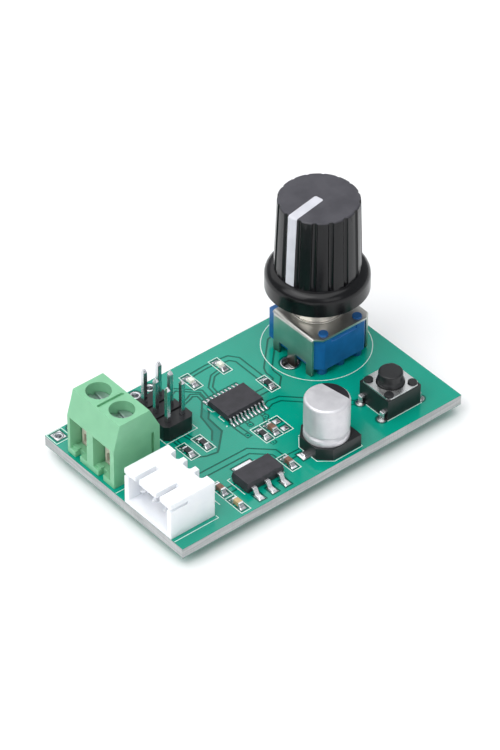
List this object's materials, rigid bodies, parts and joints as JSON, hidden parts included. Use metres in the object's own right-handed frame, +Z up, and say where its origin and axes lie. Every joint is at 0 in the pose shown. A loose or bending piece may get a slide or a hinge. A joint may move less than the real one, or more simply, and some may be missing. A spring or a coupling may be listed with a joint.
{
  "type": "servo driver board",
  "caption": "Small circuit board that drives hobby servos by hand: turn knob, push switch, pin header, screw terminals for power and a side entry wire socket.",
  "frame": {"origin": "middle of the board in plan, at the tips of the trimmed leads under it (z = 0); the board's underside is at z = 1.6 mm and its upper face at z = 3.2 mm", "axes": "+X runs along the board's length from the connector edge to the knob edge, +Y from the front edge with the switch to the back edge, +Z up out of the parts side"},
  "size_m": [0.05, 0.03, 0.0294],
  "materials": {
    "board_laminate": "glass fibre board with a glossy green solder mask",
    "solder": "bright tin solder",
    "green_housing": "light green moulded plastic, slightly translucent",
    "plated_steel": "zinc plated steel",
    "nickel_plate": "nickel plated",
    "tinned_metal": "tin plated lead metal",
    "white_nylon": "natural white nylon",
    "black_plastic": "black moulded plastic",
    "package_plastic": "dark grey moulded package",
    "can_aluminium": "bright aluminium can",
    "seal_rubber": "black rubber",
    "foil_roll": "paper and foil roll",
    "blue_plastic": "blue moulded plastic",
    "bracket_steel": "bright nickel plated sheet",
    "bushing_metal": "polished nickel",
    "shaft_aluminium": "turned aluminium",
    "wiper_bronze": "spring bronze",
    "track_board": "resin paper disc with a carbon track",
    "knob_black": "black moulded plastic",
    "pointer_white": "white inlay",
    "cover_steel": "bright steel sheet",
    "resistor_black": "dark glaze over ceramic",
    "ceramic_brown": "brown ceramic",
    "diode_resin": "clear resin over white ceramic"
  },
  "bodies": {
    "board": {"circuit_board": "board_laminate", "solder_joints": "solder", "terminal_housing": "green_housing", "terminal_pin_1": "tinned_metal", "terminal_pin_2": "tinned_metal", "socket_housing": "white_nylon", "socket_pin_1": "tinned_metal", "socket_pin_2": "tinned_metal", "socket_pin_3": "tinned_metal", "header_base": "black_plastic", "header_pins": "tinned_metal", "controller_body": "package_plastic", "controller_leads": "tinned_metal", "regulator_body": "package_plastic", "regulator_leads": "tinned_metal", "regulator_tab": "tinned_metal", "capacitor_can": "can_aluminium", "capacitor_base": "black_plastic", "capacitor_seal": "seal_rubber", "capacitor_winding": "foil_roll", "capacitor_leads": "tinned_metal", "pot_body": "blue_plastic", "pot_bracket": "bracket_steel", "pot_bushing": "bushing_metal", "pot_track": "track_board", "pot_terminals": "tinned_metal", "switch_body": "black_plastic", "switch_cover": "cover_steel", "switch_dome": "cover_steel", "switch_leads": "tinned_metal", "resistor_1": "resistor_black", "resistor_2": "resistor_black", "resistor_3": "resistor_black", "resistor_4": "resistor_black", "resistor_ends": "tinned_metal", "ceramic_1": "ceramic_brown", "ceramic_2": "ceramic_brown", "ceramic_3": "ceramic_brown", "ceramic_4": "ceramic_brown", "ceramic_ends": "tinned_metal", "diode_1": "diode_resin", "diode_2": "diode_resin", "diode_ends": "tinned_metal"},
    "screw_1": {"terminal_screw_1": "plated_steel"},
    "screw_2": {"terminal_screw_2": "plated_steel"},
    "cage_1": {"clamp_cage_1": "nickel_plate"},
    "cage_2": {"clamp_cage_2": "nickel_plate"},
    "knob": {"pot_shaft": "shaft_aluminium", "pot_rotor": "black_plastic", "pot_wiper": "wiper_bronze", "knob_body": "knob_black", "knob_pointer": "pointer_white"},
    "button": {"switch_button": "black_plastic"}
  },
  "joints": [
    {"name": "terminal_screw_1_turn", "type": "hinge", "parent": "board", "child": "screw_1", "pos_m": [-0.021, 0.00278, 0.0118], "axis": [0, 0, -1], "range_deg": [0, 990]},
    {"name": "clamp_cage_1_rise", "type": "slide", "parent": "board", "child": "cage_1", "axis": [0, 0, 1], "range_m": [0, 0.00137]},
    {"name": "terminal_screw_2_turn", "type": "hinge", "parent": "board", "child": "screw_2", "pos_m": [-0.021, 0.00786, 0.0118], "axis": [0, 0, -1], "range_deg": [0, 990]},
    {"name": "clamp_cage_2_rise", "type": "slide", "parent": "board", "child": "cage_2", "axis": [0, 0, 1], "range_m": [0, 0.00137]},
    {"name": "knob_turn", "type": "hinge", "parent": "board", "child": "knob", "pos_m": [0.0165, 0.00615, 0.015], "axis": [0, 0, 1], "range_deg": [-60, 220]},
    {"name": "button_press", "type": "slide", "parent": "board", "child": "button", "axis": [0, 0, -1], "range_m": [0, 0.00025], "stiffness_N_per_m": 6000, "springref_m": -0.00005, "deforming": ["switch_dome"]}
  ],
  "couplings": [
    {"joint": "terminal_screw_1_turn", "follows": "clamp_cage_1_rise", "rad_per_m": 12566},
    {"joint": "terminal_screw_2_turn", "follows": "clamp_cage_2_rise", "rad_per_m": 12566}
  ]
}
